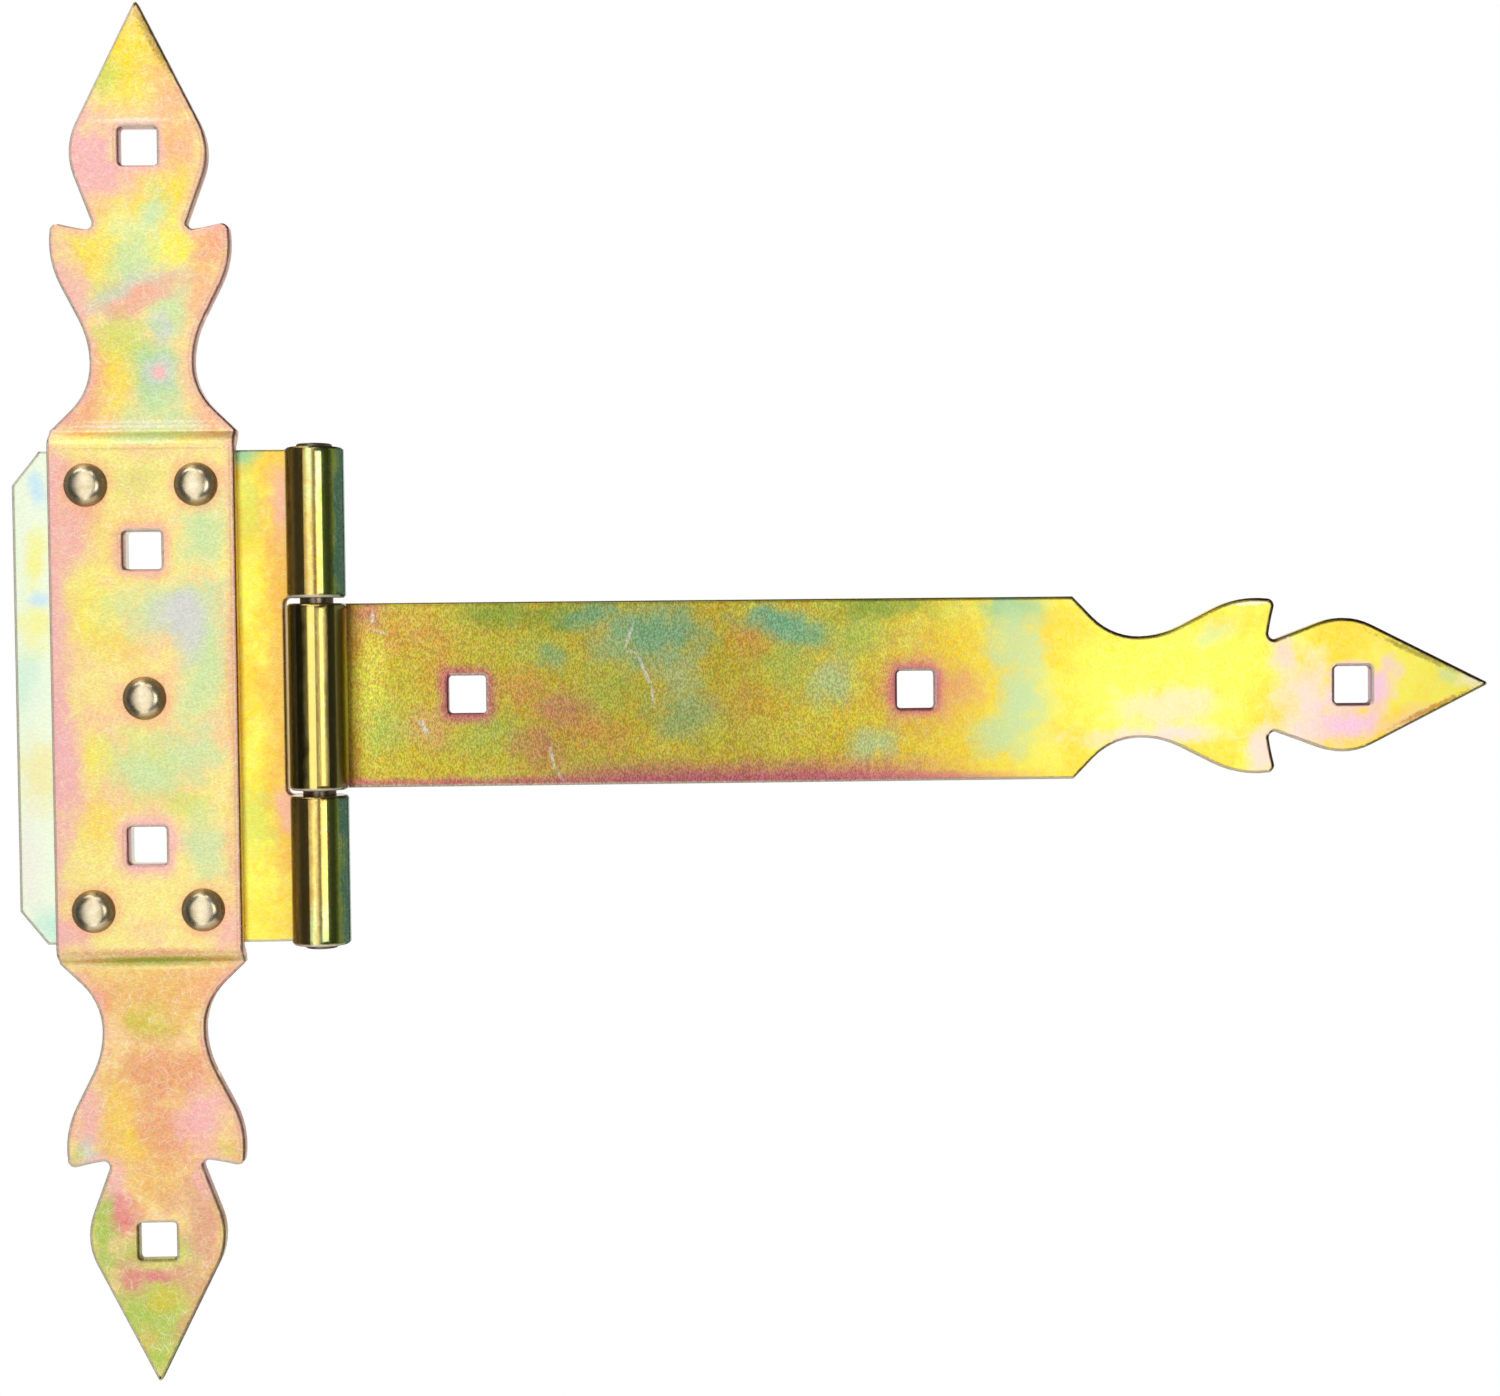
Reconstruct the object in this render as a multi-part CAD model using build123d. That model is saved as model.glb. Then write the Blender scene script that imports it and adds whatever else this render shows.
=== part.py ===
from build123d import *
from math import asin, atan, cos, degrees, pi, radians, sin, tan
import os

# Tee hinge of pressed steel strip, for a gate or a shed door.
# A frame leaf carries two rolled eyes, and an upright cross plate is riveted over it.
# A long strap with one rolled eye turns on the pin between them.
# Millimetres. The origin is the foot of the pin's axis on the mounting plane, at mid height.
# +X runs out along the strap, +Z up the pin, and -Y faces the viewer. The backs lie at y = 0.

# The strip that all three plates are cut from
strip_width = 45.0
thickness = 3.0
edge_chamfer = 0.35

# Barrel: the pin, its bore and the two kinds of eye
pin_diameter = 8.0
pin_play = 0.05  # radial
curl_gap = 0.3  # between the end of a curl and the flat that it comes back to
eye_chamfer = 0.5
pin_head_diameter = 8.6
pin_head_height = 1.0
pin_end_chamfer = 0.35

# Frame leaf
leaf_height = 120.0
leaf_reach = 73.8  # from the pin's axis to the far edge
leaf_corner_across = 6.6
leaf_corner_down = 8.2
notch_clearance = 1.4  # above, below and beside the strap's eye
notch_corner_round = 1.2

# Cross plate, with a joggle past each end of the leaf that brings its ends down to the mounting plane
plate_length = 337.2  # between the sharp corners that the two tips are rounded from
plate_offset = 42.0  # from the pin's axis to the plate's centre line
joggle_start = 60.2
joggle_run = 5.2

# Strap
strap_reach = 288.1  # from the pin's axis to the sharp corner that the tip is rounded from

# Spear-shaped ornament: places along it are counted from that sharp corner, widths from its centre line
tip_angle = 26.7
tip_round = 0.5
bulge_half_width = 16.55
bulge_radius = 16.0
flank_angle = 20.5
notch_root_from_tip = 55.4
notch_root_round = 1.5
horn_corner_from_tip = 53.3
horn_corner_round = 1.8
horn_edge_hollow = 0.25
horn_half_width = 21.7
horn_widest_from_tip = 58.2
horn_radius = 23.0
throat_angle = 27.0
neck_half_width = 12.5
neck_radius = 23.0
flare_angle = 46.0
flare_radius = 16.0

# Square holes for coach bolts
bolt_hole = 9.2
bolt_hole_corner = 0.9
ornament_hole_from_tip = 35.2
plate_hole_height = 35.8
strap_holes = (35.5, 145.5, 254.0)  # from the pin's axis

# Rivets that hold the cross plate to the leaf
rivet_diameter = 6.0
rivet_play = 0.05  # radial
rivet_head_diameter = 10.5
rivet_head_height = 2.7
rivet_crown_radius = 17.0
rivet_crown_slope = 8.8  # where the flat crown turns into the shoulder, in degrees
rivet_shoulder_slope = 72.0  # where the shoulder meets the short upright lip
rivet_tail_diameter = 8.8
rivet_tail_depth = 1.5
rivet_spread = 13.2  # either side of the plate's centre line
rivet_height = 51.6
rivet_sides = 32  # flats that stand for each of its rounds, as five rivets of true rounds would be heavy
rivet_bands = 3  # of the shoulder

# Worked out from the sizes above
pin_radius = pin_diameter / 2
bore_radius = pin_radius + pin_play
eye_radius = bore_radius + thickness
half_strip = strip_width / 2
half_leaf = leaf_height / 2
half_plate = plate_length / 2
half_notch = half_strip + notch_clearance
notch_edge = eye_radius + notch_clearance
end_eye_length = half_leaf - half_notch
raised_front = 2 * thickness
cut_margin = 1.0
cut_depth = raised_front + 2 * cut_margin
near = 0.01  # two places closer than this are one
front_view = Plane.XZ  # its normal points at the viewer
cutting_plane = front_view.offset(-cut_margin)

rivet_places = {
    "rivet_top_left": (-rivet_spread, rivet_height),
    "rivet_top_right": (rivet_spread, rivet_height),
    "rivet_centre": (0.0, 0.0),
    "rivet_bottom_left": (-rivet_spread, -rivet_height),
    "rivet_bottom_right": (rivet_spread, -rivet_height),
}


def heading(angle):
    """Direction at an angle in degrees from the ornament's axis."""
    return (cos(radians(angle)), sin(radians(angle)))


def fall_of_arc(radius, angle):
    """How far an arc that starts parallel to the axis has drawn away from it after an angle."""
    return radius * (1 - cos(radians(angle)))


def corners_at(face, point):
    """A corner of the ornament and its twin on the other side of the centre line."""
    places = (point, Vector(point.X, -point.Y))
    return [v for v in face.vertices() if any((v.center() - place).length < near for place in places)]


def ornament():
    """Face of the spear-shaped end, with its tip at the origin and its shoulders towards +X."""
    spear_half_width = bulge_half_width - fall_of_arc(bulge_radius, tip_angle)
    spear = Line((0, 0), (spear_half_width / tan(radians(tip_angle)), spear_half_width))
    bulge = JernArc(spear @ 1, spear % 1, bulge_radius, -(tip_angle + flank_angle))
    flank_length = (notch_root_from_tip - (bulge @ 1).X) / cos(radians(flank_angle))
    flank = Line(bulge @ 1, (bulge @ 1) + (bulge % 1) * flank_length)
    horn_lean = degrees(asin((horn_widest_from_tip - horn_corner_from_tip) / horn_radius))
    horn_corner = Vector(horn_corner_from_tip, horn_half_width - fall_of_arc(horn_radius, horn_lean))
    horn_edge = SagittaArc(flank @ 1, horn_corner, -horn_edge_hollow)
    horn = JernArc(horn_corner, heading(horn_lean), horn_radius, -(horn_lean + throat_angle))
    throat_fall = horn_half_width - neck_half_width - fall_of_arc(horn_radius + neck_radius, throat_angle)
    throat = Line(horn @ 1, (horn @ 1) + (horn % 1) * (throat_fall / sin(radians(throat_angle))))
    neck = JernArc(throat @ 1, throat % 1, neck_radius, throat_angle)
    flare = JernArc(neck @ 1, neck % 1, flare_radius, flare_angle)
    shoulder_length = (half_strip - (flare @ 1).Y) / sin(radians(flare_angle))
    shoulder = Line(flare @ 1, (flare @ 1) + (flare % 1) * shoulder_length)
    root = Line(shoulder @ 1, ((shoulder @ 1).X, 0))
    centre_line = Line(root @ 1, (0, 0))
    half = make_face([spear, bulge, flank, horn_edge, horn, throat, neck, flare, shoulder, root, centre_line])
    face = half + mirror(half, Plane.XZ)
    for corner, rounding in (
        (Vector(0, 0), tip_round),
        (flank @ 1, notch_root_round),
        (horn_corner, horn_corner_round),
    ):
        face = fillet(corners_at(face, corner), rounding)
    return face


def square_hole(x, z):
    """Cutter for one coach-bolt hole, right through from the front."""
    hole = RectangleRounded(bolt_hole, bolt_hole, bolt_hole_corner)
    return extrude(cutting_plane * Pos(x, z) * hole, cut_depth)


def rolled_eye(length, toward):
    """An eye rolled over the front, about the pin's axis, centred on mid height.

    toward is +1 where the flat leaves towards +X, as on the strap, and -1 for the leaf.
    """
    lip_angle = asin((eye_radius - thickness - curl_gap) / eye_radius)
    beyond = 2 * eye_radius
    gap = Polygon(
        (0, 0),
        (0, beyond),
        (toward * beyond, beyond),
        (toward * beyond * cos(lip_angle), beyond * sin(lip_angle)),
        align=None,
    )
    section = Pos(0, -eye_radius) * (Circle(eye_radius) - Circle(bore_radius) - gap)
    eye = extrude(section, length / 2, both=True)
    arcs = eye.edges().filter_by(GeomType.CIRCLE)
    return chamfer([arc for arc in arcs if abs(arc.radius - eye_radius) < near], eye_chamfer)


def front_rims(plate, mid_depth):
    """Front edges of a cut plate's walls, where mid_depth(z) is its mid plane's y at a height.

    The walls on the plane x = 0, where a flat runs into its eyes, have none.
    """
    rims = []
    for wall in plate.faces():
        if abs(wall.normal_at().Y) > near:
            continue
        for edge in wall.edges():
            middle = edge.center()
            runs_through = 1 - abs((edge % 0.5).Y) < near
            if not runs_through and abs(middle.X) > near and middle.Y < mid_depth(middle.Z):
                rims.append(edge)
    return rims


def mid_flat(z):
    """Mid plane of the flat plates."""
    return -thickness / 2


def mid_joggled(z):
    """Mid plane of the cross plate, which steps forward between the joggles."""
    step = (abs(z) - joggle_start) / joggle_run
    return -thickness / 2 - thickness * (1 - min(max(step, 0), 1))


def build_strap():
    """The long strap: a rolled eye, a plain strip and the ornament, with three bolt holes."""
    head = Pos(strap_reach, 0) * Rot(0, 0, 180) * ornament()
    shoulder = head.bounding_box().min.X
    strip = Pos(shoulder / 2, 0) * Rectangle(shoulder, strip_width)
    flat = extrude(front_view * (head + strip), thickness)
    for x in strap_holes:
        flat -= square_hole(x, 0)
    flat = chamfer(front_rims(flat, mid_flat), edge_chamfer)
    return flat + rolled_eye(strip_width, 1)


def build_leaf():
    """The frame leaf: a plate with clipped corners, a notch for the strap's eye and two rolled eyes."""
    flat = Polygon(
        (0, -half_leaf),
        (0, half_leaf),
        (-leaf_reach + leaf_corner_across, half_leaf),
        (-leaf_reach, half_leaf - leaf_corner_down),
        (-leaf_reach, -half_leaf + leaf_corner_down),
        (-leaf_reach + leaf_corner_across, -half_leaf),
        align=None,
    )
    flat -= Rectangle(2 * notch_edge, 2 * half_notch)
    inner_corners = [v for v in flat.vertices() if abs(v.X + notch_edge) < 0.01]
    flat = fillet(inner_corners, notch_corner_round)
    leaf = extrude(front_view * flat, thickness)
    leaf = chamfer(front_rims(leaf, mid_flat), edge_chamfer)
    for side in (1, -1):
        leaf += Pos(0, 0, side * (half_notch + end_eye_length / 2)) * rolled_eye(end_eye_length, -1)
        leaf -= square_hole(-plate_offset, side * plate_hole_height)
    for across, up in rivet_places.values():
        bore = Cylinder(rivet_diameter / 2 + rivet_play, 2 * thickness)
        sink = Cone(
            rivet_diameter / 2 + rivet_play,
            rivet_tail_diameter / 2 + rivet_play,
            rivet_tail_depth,
            align=(Align.CENTER, Align.CENTER, Align.MAX),
        )
        leaf -= Pos(-plate_offset + across, 0, up) * Rot(-90, 0, 0) * (bore + sink)
    return leaf


def joggled_sheet():
    """A strip bent through both joggles, wider than the plate, before its outline is cut."""
    bend = 2 * degrees(atan(thickness / joggle_run))
    middle_radius = joggle_run / (2 * sin(radians(bend)))
    inner = middle_radius - thickness / 2
    outer = middle_radius + thickness / 2
    joggle_end = joggle_start + joggle_run
    end = half_plate + cut_margin
    section = []
    for depth, first, second in ((-thickness, inner, outer), (0, outer, inner)):
        tail = Line((depth, end), (depth, joggle_end))
        foot = JernArc(tail @ 1, (0, -1), first, -bend)
        brow = JernArc(foot @ 1, foot % 1, second, bend)
        run = Line(brow @ 1, ((brow @ 1).X, 0))
        section += [tail, foot, brow, run]
    section.append(Line((-thickness, end), (0, end)))
    section.append(Line((-raised_front, 0), (-thickness, 0)))
    half = extrude(Plane.YZ * make_face(section), half_strip + cut_margin, both=True)
    return half + mirror(half, Plane.XY)


def build_cross_plate():
    """The upright plate: one joggled strip with an ornament at each end."""
    top = Pos(0, half_plate) * Rot(0, 0, -90) * ornament()
    outline = top + mirror(top, Plane.XZ)
    shoulder = top.bounding_box().min.Y
    outline += Rectangle(strip_width, 2 * shoulder)
    plate = joggled_sheet() & extrude(cutting_plane * outline, cut_depth)
    plate = Pos(-plate_offset, 0, 0) * plate
    for side in (1, -1):
        for height in (plate_hole_height, half_plate - ornament_hole_from_tip):
            plate -= square_hole(-plate_offset, side * height)
    plate = chamfer(front_rims(plate, mid_joggled), edge_chamfer)
    for across, up in rivet_places.values():
        bore = Cylinder(rivet_diameter / 2 + rivet_play, 2 * cut_depth)
        plate -= Pos(-plate_offset + across, 0, up) * Rot(-90, 0, 0) * bore
    return plate


def build_pin():
    """The hinge pin: a shank between a low peened head on top and a bevelled end below."""
    shank = Pos(0, 0, -pin_head_height / 2) * Cylinder(pin_radius, leaf_height + pin_head_height)
    shank = chamfer(shank.edges().sort_by(Axis.Z)[0], pin_end_chamfer)
    head = Pos(0, 0, half_leaf) * Cylinder(
        pin_head_diameter / 2, pin_head_height, align=(Align.CENTER, Align.CENTER, Align.MIN)
    )
    head = chamfer(head.edges().group_by(Axis.Z)[-1], pin_end_chamfer)
    return Pos(0, -eye_radius, 0) * (shank + head)


def frustum(lower, upper, bottom, top):
    """A many-sided frustum of the rivet, between two radii and two heights."""
    lean = degrees(atan((lower - upper) * cos(pi / rivet_sides) / (top - bottom)))
    return extrude(Pos(0, 0, bottom) * RegularPolygon(lower, rivet_sides), top - bottom, taper=lean)


def build_rivet():
    """One rivet along +Z: a domed head seated at the plate's front and a tail flush in the leaf's back."""
    shank_radius = rivet_diameter / 2
    head_radius = rivet_head_diameter / 2
    seat = raised_front
    crown_reach = rivet_crown_radius * sin(radians(rivet_crown_slope))
    shoulder_turn = sin(radians(rivet_shoulder_slope)) - sin(radians(rivet_crown_slope))
    shoulder_radius = (head_radius - crown_reach) / shoulder_turn
    crown = JernArc((0, seat + rivet_head_height), (1, 0), rivet_crown_radius, -rivet_crown_slope)
    shoulder = JernArc(crown @ 1, crown % 1, shoulder_radius, rivet_crown_slope - rivet_shoulder_slope)
    rings = [shoulder @ (1 - band / rivet_bands) for band in range(rivet_bands)]
    rings += [crown @ 1, crown @ 0.5]
    rivet = frustum(shank_radius, shank_radius, 0, seat)
    rivet += frustum(rivet_tail_diameter / 2, shank_radius, 0, rivet_tail_depth)
    rivet += frustum(head_radius, head_radius, seat, rings[0].Y)
    for ring, next_ring in zip(rings, rings[1:]):
        rivet += frustum(ring.X, next_ring.X, ring.Y, next_ring.Y)
    return rivet


if __name__ == "__main__":
    pieces = {
        "frame_leaf": build_leaf(),
        "cross_plate": build_cross_plate(),
        "strap": build_strap(),
        "pin": build_pin(),
    }
    rivet = Rot(90, 0, 0) * build_rivet()
    for name, (across, up) in rivet_places.items():
        pieces[name] = Pos(-plate_offset + across, 0, up) * rivet

    os.makedirs("parts", exist_ok=True)
    for name, piece in pieces.items():
        export_step(piece, f"parts/{name}.step")
        box = piece.bounding_box()
        print(name, len(piece.solids()), "solid", round(piece.volume), "mm3", box.min, box.max)
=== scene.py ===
# %% [markdown]
# # A tee hinge in yellow passivated zinc
# The hinge's solids come packed, in one fixed frame, and this script dresses them for the camera.
# Everything is in metres. +X runs out along the strap, +Z up the pin, and -Y faces the viewer.
# The three plates keep their true outlines: each is a merged copy of its solid, so its curved eye
# can be shaded smooth and its surface can carry the film of colour that a passivating bath leaves.
# The pin and the rivets are turned shapes, so they are spun afresh from a profile.

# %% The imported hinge
import bmesh
import bpy
from math import cos, pi, radians, sin
from mathutils import Matrix, Vector
from mathutils.kdtree import KDTree


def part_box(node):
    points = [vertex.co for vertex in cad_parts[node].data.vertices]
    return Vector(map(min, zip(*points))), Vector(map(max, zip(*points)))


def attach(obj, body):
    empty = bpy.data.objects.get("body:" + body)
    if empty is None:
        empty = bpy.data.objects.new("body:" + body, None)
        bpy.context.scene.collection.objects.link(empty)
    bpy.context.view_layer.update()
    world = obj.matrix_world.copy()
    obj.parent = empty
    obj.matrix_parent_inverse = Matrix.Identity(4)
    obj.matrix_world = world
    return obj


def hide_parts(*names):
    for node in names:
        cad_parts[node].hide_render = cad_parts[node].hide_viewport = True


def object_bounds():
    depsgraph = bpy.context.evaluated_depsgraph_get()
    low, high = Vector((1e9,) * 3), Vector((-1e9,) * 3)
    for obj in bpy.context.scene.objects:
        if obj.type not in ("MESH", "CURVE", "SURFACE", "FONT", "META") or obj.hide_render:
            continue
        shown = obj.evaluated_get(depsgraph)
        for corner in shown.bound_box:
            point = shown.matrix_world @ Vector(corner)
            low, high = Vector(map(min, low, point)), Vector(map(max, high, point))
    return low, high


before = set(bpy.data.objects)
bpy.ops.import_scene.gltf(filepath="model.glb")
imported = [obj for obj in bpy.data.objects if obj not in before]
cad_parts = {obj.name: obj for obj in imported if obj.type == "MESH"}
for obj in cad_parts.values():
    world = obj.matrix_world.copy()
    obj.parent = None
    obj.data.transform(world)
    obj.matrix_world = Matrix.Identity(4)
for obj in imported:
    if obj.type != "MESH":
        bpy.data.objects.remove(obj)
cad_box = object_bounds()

MM = 0.001
print("nodes", sorted(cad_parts))
print("box in mm", [[round(value / MM, 1) for value in corner] for corner in cad_box])

# %% [markdown]
# ## The camera
# A photographer stood square in front of the hinge, about half a metre away, level with the rivets.
# So near, the raised barrel hides a little of what lies behind it, and the view is turned and tipped
# by under two degrees. A lens of 52.8 mm on a 36 mm frame takes in the whole hinge from there.

# %% The camera in front
FRAME_WIDTH = 36.0
LENS = 52.8
camera_place = Vector((88.7, -542.4, 15.3)) * MM
turn = radians(-1.697)
tip = radians(-1.799)
roll = radians(0.584)

lens = bpy.data.cameras.new("view_camera")
lens.lens = LENS
lens.sensor_width = FRAME_WIDTH
lens.sensor_fit = "HORIZONTAL"
lens.clip_start = 0.01
camera = bpy.data.objects.new("view_camera", lens)
bpy.context.scene.collection.objects.link(camera)
facing = Matrix.Rotation(turn, 3, "Z") @ Matrix.Rotation(tip, 3, "X") @ Matrix.Rotation(roll, 3, "Y")
looking_along_y = Matrix.Rotation(pi / 2, 3, "X")
camera.matrix_world = Matrix.Translation(camera_place) @ (facing @ looking_along_y).to_4x4()
bpy.context.scene.camera = camera
print("camera at", [round(value, 3) for value in camera_place])

# %% [markdown]
# ## Light
# Zinc is a mirror that has been slightly blurred, so what it shows is mostly the room. The hinge
# stands in a tent of white panels, and the lens looks in through a slit between the two front ones.
# The left panel is tall, because the cross plate's flats, the strap's near end and the middle of
# every rivet look into it. The right panel stands far behind the lens: there it still fills the
# strap's far end, but puts no long arc into the rivets. The strap's middle looks into the slit, so it
# is darkest there, and the barrel shows the two panels as bright stripes.
# Three pieces of roof stand to the left, with a dark gap between them. The corner piece and the
# strip high above the lens give a rivet its two upper highlights, and the front piece reaches the
# upper joggle by way of the flat below it. The ground panel leaves the lower joggle dusky, two dim walls
# light the rims that face them, and the panel behind lights the hinge's back.

# %% Panels of the tent
def panel(name, middle, facing, wide, tall, brightness):
    """A flat lamp, in millimetres. A brightness of 1 looks white in a mirror."""
    lamp = bpy.data.lights.new(name, "AREA")
    lamp.shape = "RECTANGLE"
    lamp.size = wide * MM
    lamp.size_y = tall * MM
    lamp.energy = brightness * pi * lamp.size * lamp.size_y
    box = bpy.data.objects.new(name, lamp)
    bpy.context.scene.collection.objects.link(box)
    box.location = Vector(middle) * MM
    box.rotation_euler = (-Vector(facing)).to_track_quat("Z", "Y").to_euler()
    box.visible_camera = False
    print(name, "at", [round(value, 2) for value in box.location], round(lamp.energy, 2), "W")


panel("left_panel", (-153, -500, -20), (0, 1, 0), 272, 1160, 1.6)
panel("right_panel", (443, -950, -20), (0, 1, 0), 422, 460, 2.8)
panel("upper_strip", (72, -500, 505), (0, 1, -0.8), 120, 230, 3.0)
panel("slit_cloth", (88, -560, 40), (0, 1, 0), 205, 600, 0.10)
panel("roof", (-230, 190, 560), (0, 0, -1), 230, 700, 1.7)
panel("roof_corner", (-390, -280, 560), (0, 0, -1), 340, 240, 2.6)
panel("roof_front", (-210, -405, 560), (0, 0, -1), 180, 230, 3.0)
panel("ground_panel", (60, -150, -560), (0, 0, 1), 800, 800, 0.95)
panel("right_wall", (1060, 330, 0), (-1, -0.5, 0), 1400, 1400, 0.36)
panel("left_wall", (-950, 450, 0), (1, -0.5, 0), 1400, 1400, 0.12)
panel("back_panel", (60, 1300, 0), (0, -1, 0), 1000, 1500, 1.3)

# %% [markdown]
# ## Wiring a surface
# A finish is a tree of nodes, and each link in it is a wire from one socket to the next. The class
# below wraps an output, so that a sum on a surface reads as plain Python and adds its own Math nodes.
# Every other node comes from its one method, which sets the node up before it links anything.
# Colours are given as a screen shows them, since that is how they are read off a photograph.

# %% Wires and colours
class Wire:
    """One output of a node, so that sums on a surface read as plain Python."""

    def __init__(self, tree, socket=None):
        self.tree = tree
        self.socket = socket

    def node(self, kind, settings=None, inputs=None, output=0):
        """Adds a node: its settings first, then a value or a wire for each of its sockets."""
        made = self.tree.nodes.new(kind)
        for setting, value in (settings or {}).items():
            if setting == "stops":
                fill_ramp(made.color_ramp, value)
            else:
                setattr(made, setting, value)
        for socket, value in (inputs or {}).items():
            if isinstance(value, Wire):
                self.tree.links.new(value.socket, made.inputs[socket])
            else:
                made.inputs[socket].default_value = value
        return Wire(self.tree, made.outputs[output] if made.outputs else None)

    def sum(self, operation, first, second):
        return self.node("ShaderNodeMath", {"operation": operation}, {0: first, 1: second})

    def __add__(self, other):
        return self.sum("ADD", self, other)

    def __sub__(self, other):
        return self.sum("SUBTRACT", self, other)

    def __rsub__(self, other):
        return self.sum("SUBTRACT", other, self)

    def __mul__(self, other):
        return self.sum("MULTIPLY", self, other)

    def __pow__(self, other):
        return self.sum("POWER", self, other)

    __radd__ = __add__
    __rmul__ = __mul__


def fill_ramp(ramp, stops):
    """Sets a ramp's stops, each a place from 0 to 1 and a colour."""
    while len(ramp.elements) < len(stops):
        ramp.elements.new(1)
    for element, (place, colour) in zip(ramp.elements, stops):
        element.position = place
        element.color = colour


def screen_colour(red, green, blue):
    """A colour as a screen shows it, from 0 to 255, as the light that a shader works in."""
    parts = [part / 255 for part in (red, green, blue)]
    light = [part / 12.92 if part < 0.04045 else ((part + 0.055) / 1.055) ** 2.4 for part in parts]
    return (*light, 1)


def tree_of(owner):
    """An empty node tree for a material or the world."""
    owner.use_nodes = True
    owner.node_tree.nodes.clear()
    return Wire(owner.node_tree)


print("a screen's middle grey is", round(screen_colour(128, 128, 128)[0], 3), "of white light")

# %% [markdown]
# ## Floor and room
# The photograph has a plain white ground. A pale floor lies just under the lower tip, and the room
# itself is white to the camera but dim to the metal, as a white sweep is when only the hinge is lit.

# %% Floor and room
FLOOR_GAP = 22 * MM
FLOOR_SIZE = 6

floor_surface = bpy.data.materials.new("pale_floor")
start = tree_of(floor_surface)
pale = start.node("ShaderNodeEmission", inputs={"Color": (1, 1, 1, 1), "Strength": 1.0})
start.node("ShaderNodeOutputMaterial", inputs={"Surface": pale})

sheet = bmesh.new()
bmesh.ops.create_grid(sheet, x_segments=1, y_segments=1, size=FLOOR_SIZE)
bmesh.ops.translate(sheet, verts=sheet.verts, vec=(0, 0, cad_box[0][2] - FLOOR_GAP))
floor_mesh = bpy.data.meshes.new("floor")
sheet.to_mesh(floor_mesh)
sheet.free()
floor = bpy.data.objects.new("floor", floor_mesh)
floor_mesh.materials.append(floor_surface)
bpy.context.scene.collection.objects.link(floor)
floor.visible_glossy = False
floor.visible_diffuse = False

room = bpy.data.worlds.new("studio")
bpy.context.scene.world = room
start = tree_of(room)
seen = start.node("ShaderNodeLightPath", output="Is Camera Ray")
white = start.node("ShaderNodeBackground", inputs={"Color": (1, 1, 1, 1), "Strength": 1.0})
dim = start.node("ShaderNodeBackground", inputs={"Color": (1, 0.98, 0.94, 1), "Strength": 0.05})
both = start.node("ShaderNodeMixShader", inputs={0: seen, 1: dim, 2: white})
start.node("ShaderNodeOutputWorld", inputs={"Surface": both})
bpy.context.scene.view_settings.view_transform = "Standard"
print("floor at", round(floor_mesh.vertices[0].co.z, 3))

# %% [markdown]
# ## The plates
# A strap hinge is pressed from flat strip: the outline and the square holes are punched, which rolls
# the front rim over a little, and the eyes are curled round a mandrel. The copies below are the solids'
# own triangles, merged. A narrow inset along the front rim gives the roll-over its width. Then the
# skin is cut into small cells, so that it has points all over that can keep their distance from the
# nearest rim, which the colours need. The true edges are marked before the cutting: afterwards a thin
# sliver beside an edge could hide its angle and leave a dark dash on the flat.

# %% Skins
CELL = 1.5 * MM
ROLL_OVER = 0.45 * MM
MERGE = 0.002 * MM
SLIVER = 0.01 * MM
FLAT_WITHIN = radians(0.4)
SMOOTH_BELOW = radians(50)
BARREL_REACH = 8.5 * MM
POINT_SPACING = 0.5 * MM
JOGGLE_START = 60.0 * MM
JOGGLE_END = 65.6 * MM
barrel_axis = Vector((0, -7.05, 0)) * MM


def on_front(face):
    """Whether a face is the front of the sheet: a flat, or the cross plate's slope at a joggle."""
    height = abs(face.calc_center_median().z)
    on_slope = abs(face.normal.x) < 0.01 and JOGGLE_START < height < JOGGLE_END
    return face.normal.y < (-0.3 if on_slope else -0.99)


def mark_true_edges(skin):
    """Marks the edges that stay sharp. Cuts made later keep the marks."""
    skin.normal_update()
    for edge in skin.edges:
        edge.smooth = edge.calc_face_angle(0) < SMOOTH_BELOW


def merged_plate(node):
    """A plate's solid as one clean skin, with a narrow ring inside its front rims."""
    skin = bmesh.new()
    skin.from_mesh(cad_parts[node].data)
    bmesh.ops.remove_doubles(skin, verts=skin.verts, dist=MERGE)
    bmesh.ops.dissolve_limit(skin, angle_limit=FLAT_WITHIN, verts=skin.verts, edges=skin.edges)
    front = [face for face in skin.faces if on_front(face)]
    bmesh.ops.inset_region(skin, faces=front, thickness=ROLL_OVER, use_even_offset=True, use_boundary=True)
    mark_true_edges(skin)
    return skin


print("a cell is", CELL / MM, "mm wide")

# %% [markdown]
# ### Cells and rims
# A sheet's cut walls are its only faces that look sideways, apart from the barrel. Points are set
# along them, and a tree of those points then answers for any place which rim is nearest, how far it
# is, and whether its wall faces right, left, up or down.

# %% Cells, rims and finished plates
def cut_into_cells(skin):
    """Cuts a skin along a grid, so that its flats have points to carry values."""
    low = [min(vert.co[axis] for vert in skin.verts) for axis in (0, 2)]
    high = [max(vert.co[axis] for vert in skin.verts) for axis in (0, 2)]
    for start_at, end_at, direction in zip(low, high, (Vector((1, 0, 0)), Vector((0, 0, 1)))):
        place = start_at + CELL
        while place < end_at - CELL / 2:
            everything = skin.verts[:] + skin.edges[:] + skin.faces[:]
            bmesh.ops.bisect_plane(
                skin, geom=everything, dist=MERGE, plane_co=direction * place, plane_no=direction
            )
            place += CELL
    bmesh.ops.dissolve_degenerate(skin, dist=SLIVER, edges=skin.edges)


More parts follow.
